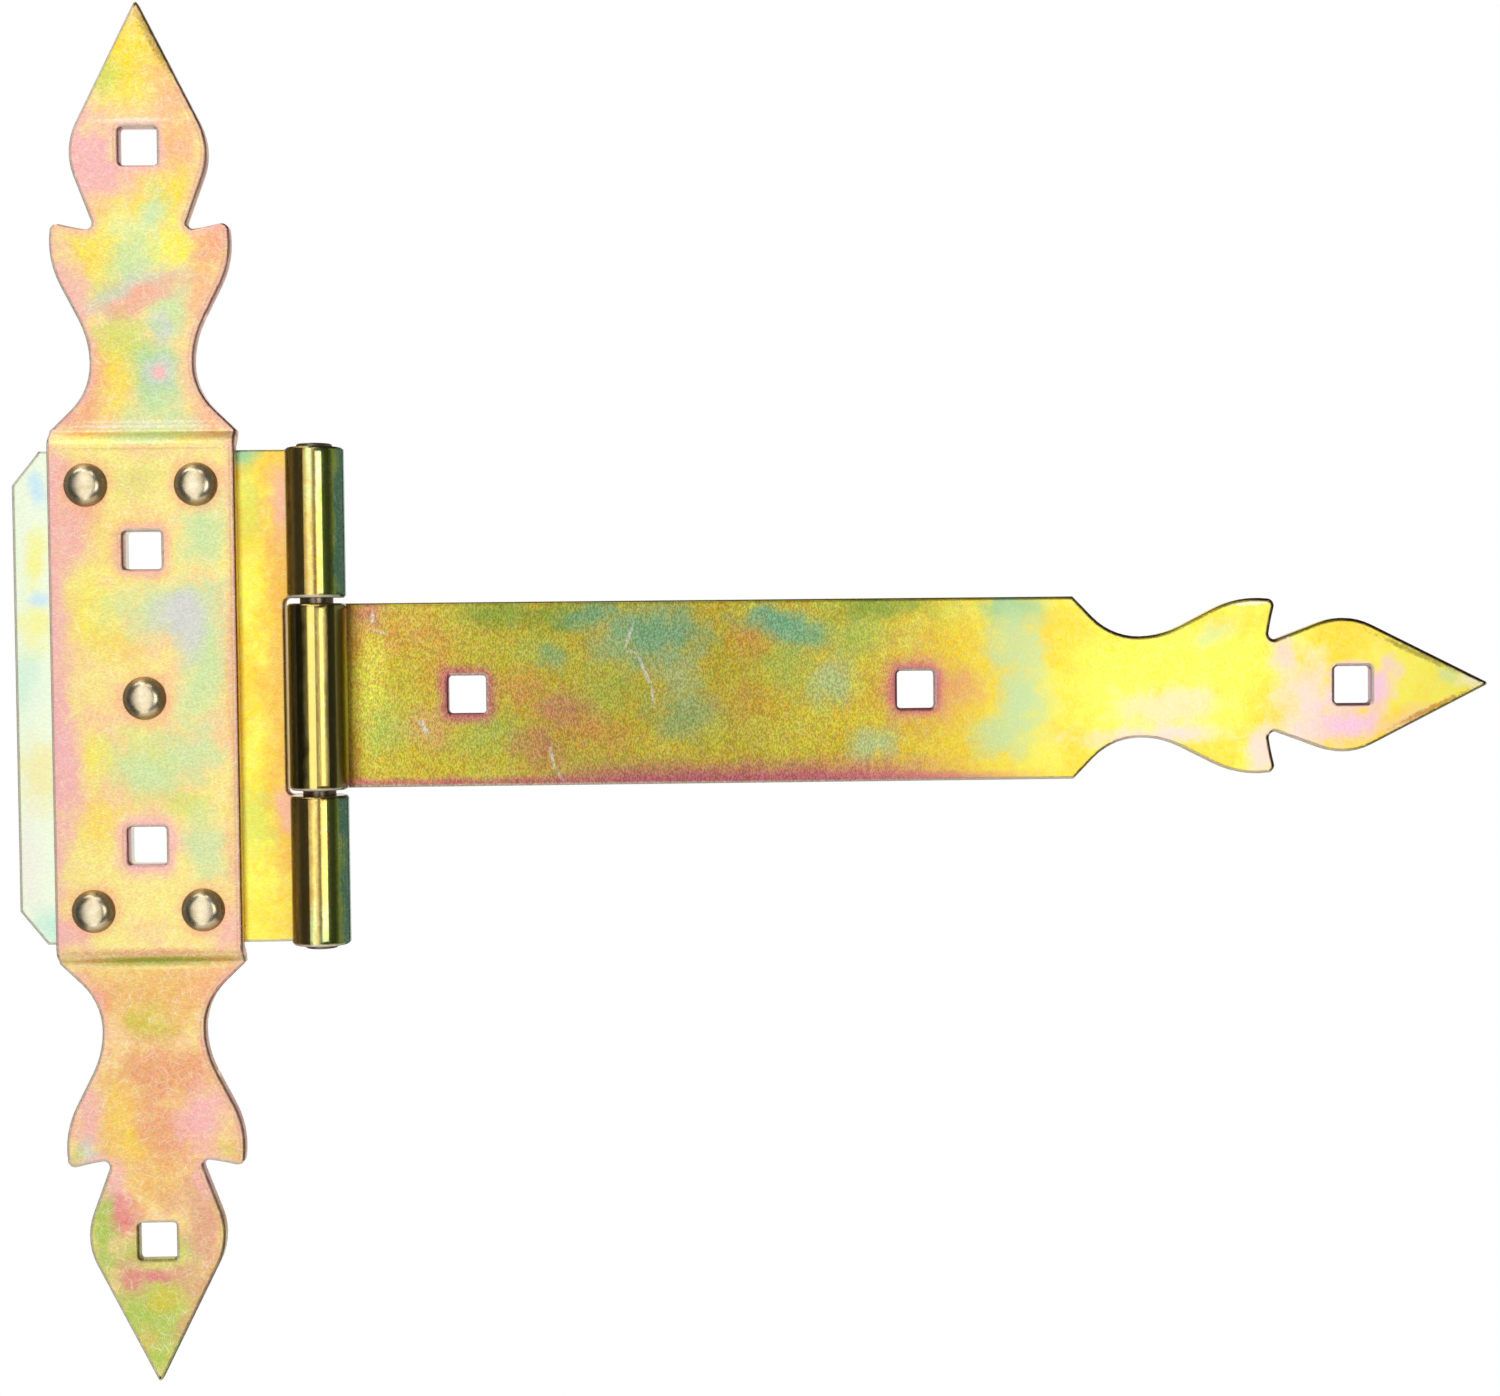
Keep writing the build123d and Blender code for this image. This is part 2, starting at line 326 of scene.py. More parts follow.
def rim_points(skin):
    """Points along the sheet's cut walls, seen from the front, each with the way that its wall faces."""
    points = []
    for face in skin.faces:
        middle = face.calc_center_median()
        near_barrel = (middle - barrel_axis).to_2d().length < BARREL_REACH and abs(face.normal.z) < 0.5
        if abs(face.normal.y) > 0.2 or near_barrel:
            continue
        for edge in face.edges:
            first, last = (vert.co for vert in edge.verts)
            steps = max(1, int((first - last).length / POINT_SPACING))
            points += [(first.lerp(last, step / steps), face.normal.copy()) for step in range(steps + 1)]
    return [(Vector((point.x, 0, point.z)), facing) for point, facing in points]


def plate_piece(name, node):
    """The finished mesh of a plate. Its points know how far the nearest rim is, and how it faces."""
    skin = merged_plate(node)
    points = rim_points(skin)
    tree = KDTree(len(points))
    for index, (point, facing) in enumerate(points):
        tree.insert(point, index)
    tree.balance()
    cut_into_cells(skin)
    away, right, up = (skin.verts.layers.float.new(name) for name in ("rim_mm", "rim_right", "rim_up"))
    for vert in skin.verts:
        place, index, distance = tree.find((vert.co.x, 0, vert.co.z))
        vert[away] = distance / MM
        vert[right] = points[index][1].x
        vert[up] = points[index][1].z
    bmesh.ops.triangulate(skin, faces=[face for face in skin.faces if len(face.verts) > 4])
    mesh = bpy.data.meshes.new(name)
    skin.to_mesh(mesh)
    skin.free()
    piece = shown(name, mesh)
    weighted = piece.modifiers.new("flats_stay_flat", "WEIGHTED_NORMAL")
    weighted.keep_sharp = True
    print(name, len(mesh.polygons), "faces")
    return piece


def shown(name, mesh):
    """An object for a mesh, shaded smooth except over its true edges."""
    for face in mesh.polygons:
        face.use_smooth = True
    piece = bpy.data.objects.new(name, mesh)
    bpy.context.scene.collection.objects.link(piece)
    return piece


leaf = plate_piece("leaf_plate", "frame_leaf")
cross = plate_piece("spear_cross_plate", "cross_plate")
strap = plate_piece("long_strap", "strap")

# %% [markdown]
# ## Pin and rivets
# Both are headed from round wire and look turned, so a half profile is drawn once and spun about its
# axis. A rivet's head is two arcs, the nearly flat crown that the riveting tool leaves and a round
# shoulder, so one point is spun about each arc's centre to draw them. Every point also keeps its
# distance from the axis, which tells the plating where the shoulder is.

# %% Turned pieces
TURN_STEPS = 64


def turned(name, outline, along, place):
    """Spins a profile of (radius, height) points about a line through place."""
    body = bmesh.new()
    out = Vector((1, 0, 0))
    points = [body.verts.new(out * radius * MM + along * height * MM) for radius, height in outline]
    for first, last in zip(points, points[1:]):
        body.edges.new((first, last))
    bmesh.ops.spin(
        body, geom=body.verts[:] + body.edges[:], cent=(0, 0, 0), axis=along,
        angle=2 * pi, steps=TURN_STEPS, use_merge=True,
    )
    bmesh.ops.remove_doubles(body, verts=body.verts, dist=MERGE)
    bmesh.ops.recalc_face_normals(body, faces=body.faces)
    from_axis = body.verts.layers.float.new("from_axis_mm")
    for vert in body.verts:
        vert[from_axis] = (vert.co - along * vert.co.dot(along)).length / MM
    bmesh.ops.translate(body, verts=body.verts, vec=place)
    mark_true_edges(body)
    mesh = bpy.data.meshes.new(name)
    body.to_mesh(mesh)
    body.free()
    return shown(name, mesh)


def arc(centre, first, angle, steps):
    """The points of an arc, drawn by spinning one point about a centre."""
    pen = bmesh.new()
    start_point = pen.verts.new((first[0], 0, first[1]))
    bmesh.ops.spin(
        pen, geom=[start_point], cent=(centre[0], 0, centre[1]), axis=(0, 1, 0), angle=angle, steps=steps,
    )
    drawn = [(vert.co.x, vert.co.z) for vert in pen.verts]
    pen.free()
    return drawn


print("turned in", TURN_STEPS, "steps")

# %% [markdown]
# ### The rivets
# Lengths along a rivet are counted from the leaf's back, in mm. Its tail fills a countersink there,
# its shank runs through leaf and cross plate, and its head sits on the cross plate.

# %% Rivets
HEAD_RADIUS = 5.25
SHANK_RADIUS = 3.0
TAIL_RADIUS = 4.4
TAIL_DEPTH = 1.5
SEAT = 6.0
UNDERCUT = 0.08
CROWN = 8.65
CROWN_RADIUS = 17.0
CROWN_SLOPE = radians(8.8)
SHOULDER_SLOPE = radians(72)
CROWN_STEPS = 4
SHOULDER_STEPS = 10
crown_reach = CROWN_RADIUS * sin(CROWN_SLOPE)
shoulder_radius = (HEAD_RADIUS - crown_reach) / (sin(SHOULDER_SLOPE) - sin(CROWN_SLOPE))
crown_centre = (0, CROWN - CROWN_RADIUS)
crown_edge = (crown_reach, crown_centre[1] + CROWN_RADIUS * cos(CROWN_SLOPE))
shoulder_centre = (
    crown_edge[0] - shoulder_radius * sin(CROWN_SLOPE),
    crown_edge[1] - shoulder_radius * cos(CROWN_SLOPE),
)
shoulder = arc(shoulder_centre, crown_edge, SHOULDER_SLOPE - CROWN_SLOPE, SHOULDER_STEPS)
crown = arc(crown_centre, (0, CROWN), CROWN_SLOPE, CROWN_STEPS)
tail = [
    (0, 0), (TAIL_RADIUS, 0), (SHANK_RADIUS, TAIL_DEPTH), (SHANK_RADIUS, SEAT),
    (HEAD_RADIUS - UNDERCUT, SEAT),
]
rivet_outline = tail + shoulder[::-1] + crown[-2::-1]
print("rivet outline", [(round(radius, 2), round(height, 2)) for radius, height in rivet_outline])

towards_viewer = Vector((0, -1, 0))
rivets = []
for node in sorted(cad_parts):
    if node.startswith("rivet_"):
        low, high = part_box(node)
        foot = Vector(((low.x + high.x) / 2, 0, (low.z + high.z) / 2))
        rivets.append(turned(node + "_turned", rivet_outline, towards_viewer, foot))
        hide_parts(node)
        print(node, "at", [round(value / MM, 2) for value in foot])

# %% [markdown]
# ### The pin
# The pin's lower end is only eased, and its top is headed a little wider, so that it can't drop out.

# %% Pin
pin_low, pin_high = (corner.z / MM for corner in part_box("pin"))
pin_outline = [
    (0, pin_low), (3.3, pin_low), (3.72, pin_low + 0.1), (3.93, pin_low + 0.3), (4.0, pin_low + 0.6),
    (4.0, pin_high - 1.0), (4.3, pin_high - 1.0), (4.3, pin_high - 0.42), (4.2, pin_high - 0.2),
    (3.9, pin_high - 0.06), (3.3, pin_high), (1.3, pin_high), (0.9, pin_high - 0.12), (0, pin_high - 0.16),
]
pin = turned("headed_pin", pin_outline, Vector((0, 0, 1)), barrel_axis)
print("pin from", round(pin_low, 2), "to", round(pin_high, 2), "mm")

# %% [markdown]
# ## Rides and stand-ins
# Each piece moves with the body of the solid that it stands for.

# %% Rides and stand-ins
for piece, node, slot in (
    (leaf, "frame_leaf", "yellow_zinc"),
    (cross, "cross_plate", "yellow_zinc"),
    (strap, "strap", "yellow_zinc"),
    (pin, "pin", "pin_steel"),
):
    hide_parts(node)
    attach(piece, "strap" if node == "strap" else "frame_side")
for rivet in rivets:
    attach(rivet, "frame_side")
print("pieces on the frame side", 3 + len(rivets))

# %% [markdown]
# ## The passivated film
# Yellow passivating leaves a film thinner than a wavelength of light, so its colour follows its
# thickness. Thin film is rose, then salmon, orange and yellow, and thicker film turns lime, teal,
# lilac and pink again. It is thin at rims and holes, where the bath drains first, and it clouds over
# the flats. Each cloud below names the colour that the film has reached there, and a ragged border
# lets it run into its neighbours.

# %% The film's colours
ROSE = screen_colour(228, 126, 138)
PINK = screen_colour(247, 184, 184)
SALMON = screen_colour(246, 172, 134)
PEACH = screen_colour(250, 208, 154)
ORANGE = screen_colour(244, 186, 92)
GOLD = screen_colour(252, 220, 74)
YELLOW = screen_colour(250, 238, 98)
STRAW = screen_colour(250, 232, 140)
OLIVE = screen_colour(214, 196, 74)
LIME = screen_colour(206, 220, 104)
MOSS = screen_colour(172, 192, 82)
MINT = screen_colour(206, 228, 166)
TEAL = screen_colour(142, 206, 164)
CYAN = screen_colour(198, 240, 222)
SKY = screen_colour(194, 230, 252)
LILAC = screen_colour(212, 212, 208)
# Rust-brown painted shade, for the strap's crevice and along rims
BROWN_SHADE = screen_colour(190, 112, 56)
PALE_ZINC = screen_colour(248, 244, 232)
HAIRLINE = screen_colour(255, 250, 226)
# Painted shade and painted highlight for the rolled-over rims
PAINTED_RIM_SHADE = screen_colour(96, 70, 44)
PAINTED_RIM_HIGHLIGHT = screen_colour(255, 244, 224)
GRAIN = screen_colour(150, 154, 112)
LEMON = screen_colour(253, 245, 98)
BLUSH = screen_colour(243, 180, 152)
AMBER = screen_colour(239, 188, 112)
BRICK = screen_colour(226, 166, 136)
# The next three are colours of painted shade and painted reflection
UMBER_SHADE = screen_colour(206, 174, 94)
BRONZE_SHADE = screen_colour(112, 98, 52)
KHAKI_REFLECTION = screen_colour(150, 140, 74)
CLAY = screen_colour(236, 168, 122)
SAGE = screen_colour(180, 200, 92)
BLOOM = screen_colour(254, 222, 206)
ORCHID = screen_colour(246, 200, 226)
# Painted shade along the upper tip's right rims
TIP_SHADE = screen_colour(172, 138, 60)
print("rose as light", [round(part, 2) for part in ROSE[:3]])

# %% [markdown]
# ## Laying the film on
# A film starts as two colours that drift into each other, and then clouds, rims and holes are laid
# over it one after another, each with its own Mix node. The clouds' borders wander and fray with two
# noises. Places on a plate are read in mm from its Object coordinates, so a cloud keeps to its place
# on the metal when the strap turns.

# %% The film
HOLE_HALF = 4.6
WANDER = 9.0
FRAYING = 1.5
CLOUD_BORDER = (0.15, 1.25)
MARK_BORDER = (0.3, 1.1)


class Film:
    """The film on one plate: a colour that clouds, rims and holes change one after another."""

    def __init__(self, name, seed, first, second):
        self.material = bpy.data.materials.new(name)
        self.start = tree_of(self.material)
        self.seed = seed
        metres = self.start.node("ShaderNodeTexCoord", output="Object")
        self.place = self.vector("SCALE", {0: metres, "Scale": 1000.0})
        wander = self.noise(0.06, 3.0, 1, output="Color")
        centred = self.vector("SUBTRACT", {0: wander, 1: (0.5, 0.5, 0.5)})
        self.drift = self.vector("MULTIPLY_ADD", {0: centred, 1: (WANDER, 0, WANDER), 2: self.place})
        self.fray = (self.noise(0.20, 5.0, 2) - 0.5) * FRAYING
        self.rim = self.start.node("ShaderNodeAttribute", {"attribute_name": "rim_mm"}, output="Fac")
        self.colour = self.tint(self.fade(self.noise(0.07, 4.0, 3), 0.62, 0.38), first, second)

    def vector(self, operation, inputs, output=0):
        return self.start.node("ShaderNodeVectorMath", {"operation": operation}, inputs, output)

    def part(self, axis):
        """One coordinate on the plate, in mm."""
        return self.start.node("ShaderNodeSeparateXYZ", inputs={0: self.place}, output=axis)

    def noise(self, scale, detail, seed, output=0, stretch=(1, 1, 1)):
        """A noise over the plate. A stretch gives how much finer it runs along each axis."""
        apart = 37.0 * (self.seed + seed)
        place = self.vector("MULTIPLY_ADD", {0: self.place, 1: stretch, 2: (apart, apart, -apart)})
        values = {"Vector": place, "Scale": scale, "Detail": detail, "Roughness": 0.6}
        return self.start.node("ShaderNodeTexNoise", None, values, output)

    def fade(self, value, full, none, most=1.0):
        """The most where a value is at or before full, falling softly to 0 at none."""
        return self.start.node(
            "ShaderNodeMapRange", {"interpolation_type": "SMOOTHSTEP"},
            {"Value": value, "From Min": full, "From Max": none, "To Min": most, "To Max": 0.0},
        )

    def tint(self, share, first, second, how="MIX"):
        """One colour turning into another, or laid over it."""
        settings = {"data_type": "RGBA", "blend_type": how}
        return self.start.node("ShaderNodeMix", settings, {0: share, 6: first, 7: second}, 2)

    def spot(self, place, x, z, wide, tall, lean=0.0):
        """How far a point is from a spot's middle, where 1 is its oval edge. Sizes are half sizes in mm."""
        settings = {"vector_type": "TEXTURE"}
        placing = {"Location": (x, 0, z), "Rotation": (0, radians(lean), 0), "Scale": (wide, 1000.0, tall)}
        local = self.start.node("ShaderNodeMapping", settings, {"Vector": place, **placing})
        return self.vector("LENGTH", {0: local}, "Value")

    def clouds(self, rows):
        """Lays clouds over the film: where, how big, how far turned clockwise, which colour, how strongly."""
        for x, z, wide, tall, lean, colour, strength in rows:
            away = self.spot(self.drift, x, z, wide, tall, lean) + self.fray
            self.colour = self.tint(self.fade(away, *CLOUD_BORDER, strength), self.colour, colour)

    def marks(self, rows, colour):
        """Sharper marks that stay where they are put: where, how big, how far turned, how strongly."""
        rough = (self.noise(1.3, 2.0, 6) - 0.5) * 1.6
        for x, z, wide, tall, lean, strength in rows:
            away = self.spot(self.place, x, z, wide, tall, lean) + rough
            self.colour = self.tint(self.fade(away, *MARK_BORDER, strength), self.colour, colour)

    def hole_rim(self, x, z, reach, colour, strength):
        """Colours the surround of a square hole, out to a reach past its sides, in mm."""
        apart = self.vector("SUBTRACT", {0: self.place, 1: (x, 0, z)})
        size = self.vector("ABSOLUTE", {0: apart})
        across = self.start.node("ShaderNodeSeparateXYZ", inputs={0: size}, output="X")
        up = self.start.node("ShaderNodeSeparateXYZ", inputs={0: size}, output="Z")
        away = (across**4 + up**4) ** 0.25 + self.fray * reach * 0.5
        share = self.fade(away, HOLE_HALF, HOLE_HALF + reach, strength)
        self.colour = self.tint(share, self.colour, colour)


print("a square hole is", 2 * HOLE_HALF, "mm wide")

# %% [markdown]
# ## Hairlines
# Tumbling in the bath's barrel scratched the pieces all over. The hairlines are five noises, each
# stretched far one way and turned to its own direction, of which only the highest ridges are kept.

# %% Hairlines
SCRATCH_LEANS = (-62.0, -24.0, 18.0, 55.0, 84.0)


def hairlines(film):
    """Fine straight scratches in a few directions, as a share from 0 to 1."""
    total = None
    for index, lean in enumerate(SCRATCH_LEANS):
        turned_place = film.start.node(
            "ShaderNodeMapping", {"vector_type": "TEXTURE"},
            {"Vector": film.place, "Rotation": (0, radians(lean), 0), "Scale": (5.0, 1.0, 0.26),
             "Location": (7.0 * index, 0, 3.0 * index)},
        )
        values = {"Vector": turned_place, "Scale": 1.0, "Detail": 1.0, "Roughness": 0.5}
        field = film.start.node("ShaderNodeTexNoise", None, values)
        line = film.fade(field, 0.74, 0.60)
        total = line if total is None else total + line
    return total


print(len(SCRATCH_LEANS), "directions of scratches")

# %% [markdown]
# ## Rims
# The punch rolled the front rims over, so they look past the panels. Rims that face right or up see
# the dark slit, so a dark line of painted shade is laid on them. Those that face left or down look at
# the lit panels, so a pale line of painted highlight is laid on them, and the metal there is made less
# metallic and rougher. A cut wall keeps the film's own colour and gets the same line along its back edge.

# %% Rims
FRONT_LINE = (0.4, 0.6)
BACK_LINE = (2.7, 2.4)
FLAT_BACK = (2.9, 2.97)
INNER_LINE = 1.2


def rim_lines(film, front, shade_share, highlight_share, dark_reach=0.75, inner_shade_share=0.0):
    """Paints the rolled-over rims: painted shade where they face right or up, painted highlight where they
    face left or down.

    Front is where the sheet's front lies along Y, in mm. The inner line is a soft line of painted shade
    beside right rims.
    """
    right, up = (
        film.start.node("ShaderNodeAttribute", {"attribute_name": name}, output="Fac")
        for name in ("rim_right", "rim_up")
    )
    depth = film.part("Y") - front
    at_front = film.fade(depth, *FRONT_LINE)
    at_back = film.fade(depth, *BACK_LINE) * film.fade(depth, *FLAT_BACK)
    ends = at_front + at_back * 0.8
    painted_shade_line = film.fade(film.rim, dark_reach * 0.6, dark_reach) * ends
    painted_highlight_line = film.fade(film.rim, 0.4, 0.8) * ends
    towards_dark = film.fade(right + up * 0.8, 0.9, 0.1)
    film.worn = painted_highlight_line * film.fade(right + up * 0.6, -0.6, 0.1)
    # A soft line of painted shade just inside the rims that face right
    from_inner = film.start.node("ShaderNodeMath", {"operation": "ABSOLUTE"}, {0: film.rim - INNER_LINE})
    inner_shade_line = film.fade(from_inner, 0.1, 0.4) * film.fade(right, 0.9, 0.3) * at_front
    film.colour = film.tint(inner_shade_line * inner_shade_share, film.colour, UMBER_SHADE)
    # Painted shade on rims that face right or up, painted highlight on rims that face left or down
    film.colour = film.tint(painted_shade_line * towards_dark * shade_share, film.colour, PAINTED_RIM_SHADE)
    film.colour = film.tint(film.worn * highlight_share, film.colour, PAINTED_RIM_HIGHLIGHT)


print("the roll-over's line is", FRONT_LINE[0], "mm deep")

# %% [markdown]
# ## Metal
# Last comes the metal itself. Zinc plate is all metal and mirrors the tent softly. Mottling shifts
# its hue and strength a little from place to place. The strips were brushed clean across their width,
# so the grain is a noise stretched that way, which darkens the metal in fine flecks. Grain and
# scratches together give the surface its relief, and rolling has polished the barrel smoother.

# %% Finishing a film
SMOOTHEST = 0.30
BARREL_POLISH = 0.45


def finish(film, grain_stretch, grain_depth, hairline_share, hue_play, barrel=None):
    """Turns the film's colour into a metal surface with mottling, grain and hairlines."""
    grain = film.noise(1.0, 3.0, 13, stretch=grain_stretch)
    mottle = film.noise(1.8, 2.0, 14)
    warmth = film.noise(0.7, 3.0, 15)
    scratches = hairlines(film) * hairline_share
    colour = film.start.node(
        "ShaderNodeHueSaturation", None,
        {"Hue": 0.5 + (warmth - 0.5) * hue_play, "Saturation": 1.0 + (mottle - 0.5) * 0.4,
         "Value": 1.0 + (mottle - 0.5) * 0.2, "Fac": 1.0, "Color": film.colour},
    )
    dark = film.fade(grain, 0.38, 0.62) * grain_depth
    colour = film.tint(dark, colour, GRAIN, "MULTIPLY")
    colour = film.tint(scratches, colour, HAIRLINE)
    roughness = SMOOTHEST + grain * 0.12 + mottle * 0.08
    if barrel:
        roughness = roughness * (1 - barrel * BARREL_POLISH)
    height = grain * 0.6 + scratches * 0.8
    bump = film.start.node(
        "ShaderNodeBump", None, {"Strength": 0.25, "Distance": 0.00004, "Height": height}
    )
    metal = film.start.node(
        "ShaderNodeBsdfPrincipled", None,
        # The rims' painted highlight is also made less metallic and rougher
        {"Base Color": colour, "Metallic": 1 - film.worn * 0.6, "Roughness": roughness + film.worn * 0.3,
         "Normal": bump},
    )
    film.start.node("ShaderNodeOutputMaterial", None, {"Surface": metal})
    return film.material


print("roughness from", SMOOTHEST, "up")

# %% [markdown]
# ## Cross plate
# Its pastel look comes from facing the left panel. Pink runs along its rims and round every hole and
# rivet, and the spears and the middle each have their own clouds of lime, teal and lilac. It would be
# one long chain of nodes, so the plate is finished in three zones that meet at its joggles.

# %% A zone of the cross plate
plate_x = -42.0
JOGGLE = 62.8 * MM
RIVET_HALO = 8.0


def cross_plate_finish(name, front, clouds, marks, holes, halos, pink_rims, rim_shade_strength):
    """The finish of one of the cross plate's three zones, which its two joggles part."""
    film = Film(name, 3.1, STRAW, PEACH)
    film.clouds(clouds)
    for place, reach, colour, strength in holes:
        film.hole_rim(plate_x, place, reach, colour, strength)
    for rivet in halos:
        middle = sum((Vector(corner) for corner in rivet.bound_box), Vector()) / 8 / MM
        away = film.spot(film.place, middle.x, middle.z, RIVET_HALO, RIVET_HALO) + film.fray * 0.3
        film.colour = film.tint(film.fade(away, 0.65, 1.05, 0.5), film.colour, SALMON)
    edge_share = film.fade(film.rim + film.fray * 2.5, 0.2, 3.0, pink_rims)
    height = film.part("Z")
    between_tips = film.fade(height, -118.0, -128.0) * film.fade(height, 140.0, 150.0)
    film.colour = film.tint(edge_share * between_tips, film.colour, PINK)
    for rows, colour in marks:
        film.marks(rows, colour)
    rim_lines(film, front, rim_shade_strength, 0.85, inner_shade_share=0.45)
    return finish(film, (1.4, 1.4, 3.0), 0.24, 0.3, 0.07)


print("the joggles are", JOGGLE / MM, "mm from mid height")

# %% [markdown]
# ### Upper spear
# Yellow at the tip turns pink round the hole. Below it a mint patch, a blush streak that leans and a
# lilac ring with a pink middle lead down to the joggle, where two pale lines of painted highlight
# follow the bend. A third lies along the slight bend above the hole, and lines of painted shade run
# down the spear's right rims near the tip.

# %% Upper spear's film
upper_finish = cross_plate_finish("upper_spear_film", -3.0, [
    (-43, 158, 11, 11, 0, GOLD, 0.95),
    (-44.5, 151, 9, 13, 0, GOLD, 0.9),
    (-49.5, 150, 4.5, 6, 0, LIME, 0.7),
    (-34, 144, 5, 12, -25, SALMON, 0.7),
    (-45, 141, 14, 4, 0, PEACH, 0.8),
    (-53, 130, 11, 11, 0, PINK, 1.0),
    (-49, 125, 9, 6, 0, PINK, 0.9),
    (-33, 134, 7, 7, 0, SALMON, 0.7),
    (-37, 122, 12, 8, -20, GOLD, 1.0),
    (-53, 116, 6, 6, 0, ORANGE, 0.5),
    (-42, 108, 19, 13, 0, YELLOW, 0.9),
    (-38.4, 119, 4.5, 8, 0, MINT, 0.95),
    (-43, 113, 8, 6, 0, CYAN, 0.3),
    (-44, 106, 8, 8, 0, MINT, 0.9),
    (-55, 108, 7, 7, 0, GOLD, 0.7),
    (-31, 107, 5, 9, 0, YELLOW, 0.8),
    (-23.5, 110, 6, 9, 0, SALMON, 0.9),
    (-62.5, 111, 4, 7, 0, PEACH, 0.8),
    (-58.5, 99, 5, 12, -18, PINK, 0.8),
    (-27, 99, 5, 12, 18, SALMON, 0.6),
    (-36, 93, 8, 9, 0, MINT, 0.95),
    (-46, 98, 9, 6, 0, TEAL, 0.5),
    (-42, 98.4, 14, 5.5, -20, LILAC, 0.7),
    (-41, 97.2, 12, 3.8, -20, BLUSH, 0.95),
    (-44.5, 94.5, 6, 3.2, -8, BLUSH, 0.9),
    (-37.5, 89, 4, 5, 0, LILAC, 0.8),
    (-47, 87, 8, 7, 0, LIME, 0.7),
    (-43, 84, 8, 5, 0, LIME, 0.5),
    (-38, 76, 10, 12, 0, MINT, 0.9),
    (-39, 78, 9, 11, 0, TEAL, 0.5),
    (-49, 77, 6, 11, 0, GOLD, 0.8),
    (-54.5, 78, 4, 12, 0, SALMON, 0.8),
    (-29, 80, 4, 14, 0, PEACH, 0.8),
    (-37.4, 78, 5, 5, 0, LILAC, 0.9),
    (-37.4, 78, 2.6, 2.6, 0, PINK, 1.0),
    (-58, 69, 7, 5, 0, SALMON, 0.8),
    (-25, 69, 6, 5, 0, SALMON, 0.7),
    (-40, 65, 13, 8, 0, MINT, 0.7),
], [
    ([
        # Pale lines of painted highlight along the slight bend above the hole and along the joggle's bend
        (-44.0, 139.6, 13.0, 0.7, -1, 0.5),
        (-39.5, 67.0, 21.0, 0.5, 0, 0.45),
        (-42.0, 65.9, 22.0, 0.45, 0, 0.6),
    ], PALE_ZINC),
    ([(-42.0, 63.4, 26.0, 1.2, 0, 0.6)], YELLOW),
    ([(-42.0, 63.4, 11.0, 1.2, 0, 0.8)], MINT),
    # Lines of painted shade along the spear's right rims near the tip
    ([(-37.9, 158.8, 1.5, 11.0, -28, 0.85)], TIP_SHADE),
    ([(-28.6, 142.5, 0.5, 8.0, -27, 0.5)], BROWN_SHADE),
], [(133.4, 2.5, PINK, 0.4)], [], 0.65, 0.2)

print("upper spear", upper_finish.name)

# %% [markdown]
# ### Riveted middle
# The middle lies on the leaf and stands out furthest. Its left side is pink and its right side mint,
# with one strong lilac cloud, and an amber line runs down its right rim.

# %% Riveted middle's film
middle_finish = cross_plate_finish("riveted_middle_film", -6.0, [
    (-43, 53, 9, 8, 0, LIME, 0.45),
    (-47, 57, 8, 4, 0, STRAW, 0.7),
    (-38, 48, 7, 6, 0, STRAW, 0.8),
    (-58, 44, 9, 11, 0, SALMON, 0.5),
    (-60, 40, 6, 14, 0, PINK, 0.7),
    (-46, 40, 9, 8, 0, ORANGE, 0.35),
    (-27.5, 40, 8, 12, 0, MINT, 0.95),
    (-54, 20, 10, 12, 0, YELLOW, 0.8),
    (-50, 12, 8, 7, 0, ORANGE, 0.35),
    (-36, 21, 16, 8, 0, MINT, 0.9),
    (-28, 10, 8, 24, 0, MINT, 0.95),
    (-33, 20, 8, 7, 0, LILAC, 1.0),
    (-31.5, 13, 5, 6, 0, LILAC, 0.8),
    (-55, 4, 8, 9, 0, STRAW, 0.8),
    (-42, -17, 15, 10, 0, LIME, 0.6),
    (-43, -17, 14, 8, 8, MINT, 0.9),
    (-31, -14, 8, 8, 0, MINT, 0.8),
    (-56, -15, 6, 9, 0, YELLOW, 0.8),
    (-53, -30, 8, 8, 0, GOLD, 0.6),
    (-33, -27, 8, 5, 0, LIME, 0.6),
    (-28, -36, 7, 10, 0, MINT, 0.85),
    (-43, -48, 14, 5, 0, STRAW, 0.7),
    (-40, -56, 9, 4, 0, PEACH, 0.7),
    (-63, -12, 6, 34, 0, PINK, 1.0),
    (-60, -20, 4, 16, 0, PINK, 0.6),
    (-64, 20, 4, 40, 0, PINK, 0.7),
    (-20.5, 0, 2.4, 62, 0, AMBER, 0.65),
    (-62, -56, 8, 5, 0, PINK, 0.9),
    (-23, -56, 7, 6, 0, PINK, 0.8),
    (-62, 54, 5, 7, 0, PINK, 0.8),
], [
    ([(-42.0, -61.8, 24.0, 1.3, 0, 0.75)], CLAY),
    ([(-42.0, 62.2, 26.0, 1.2, 0, 0.6)], YELLOW),
    ([(-42.0, 62.2, 11.0, 1.2, 0, 0.8)], MINT),
    # A thin line of painted shade in the crease at the foot of the joggle
    ([(-42.0, 60.3, 26.0, 0.35, 0, 0.45)], UMBER_SHADE),
], [(35.8, 4.5, SALMON, 0.7), (-35.8, 5.0, PINK, 0.9)], rivets, 0.6, 0.35)

print("riveted middle", middle_finish.name)

# %% [markdown]
# ### Lower spear
# The bath ran down to this end, so its film is deeper: clay and pink round the waist, brick and rose
# beside the hole, and a sage green point.

